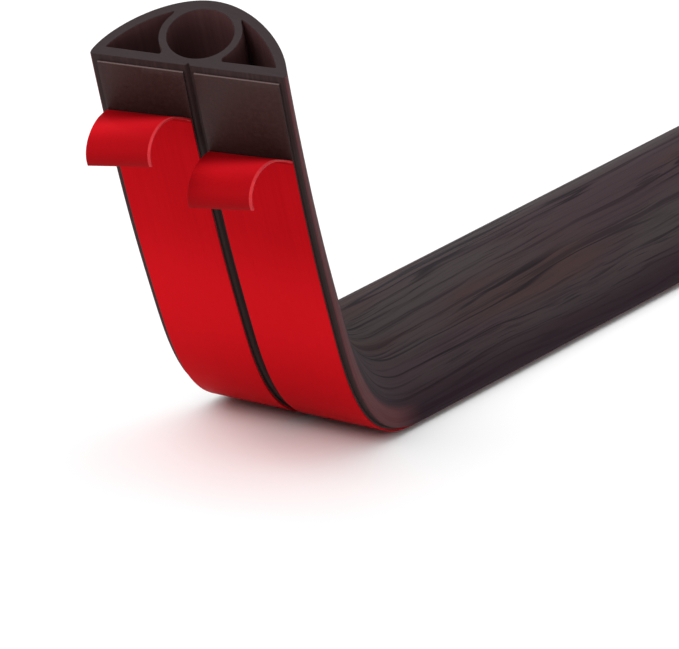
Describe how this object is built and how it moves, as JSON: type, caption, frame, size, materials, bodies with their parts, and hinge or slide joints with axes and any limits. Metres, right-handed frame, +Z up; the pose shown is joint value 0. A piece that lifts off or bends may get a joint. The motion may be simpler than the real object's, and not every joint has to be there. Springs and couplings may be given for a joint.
{
  "type": "floor cord cover",
  "caption": "Low D-section floor cord cover with a round cable bore, two side channels and two peel-off adhesive strips, its free end curled up off the floor and slightly twisted.",
  "frame": {"origin": "middle of the part's footprint on the floor", "axes": "+X along the cover towards its flat end, +Y across it to the left as seen from in front of the curled end, +Z up"},
  "size_m": [0.97, 0.0505, 0.1237],
  "materials": {
    "wood_grain_pvc": "dark walnut-look soft PVC, satin, with fine grain streaks along its length",
    "adhesive_tape": "dark tacky tape, slightly glossy, with a paler edge",
    "release_liner": "red glossy release film"
  },
  "bodies": {
    "root": {"cover_extrusion": "wood_grain_pvc", "adhesive_tape_left": "adhesive_tape", "adhesive_tape_right": "adhesive_tape", "release_liner_left": "release_liner", "release_liner_right": "release_liner"}
  },
  "joints": []
}
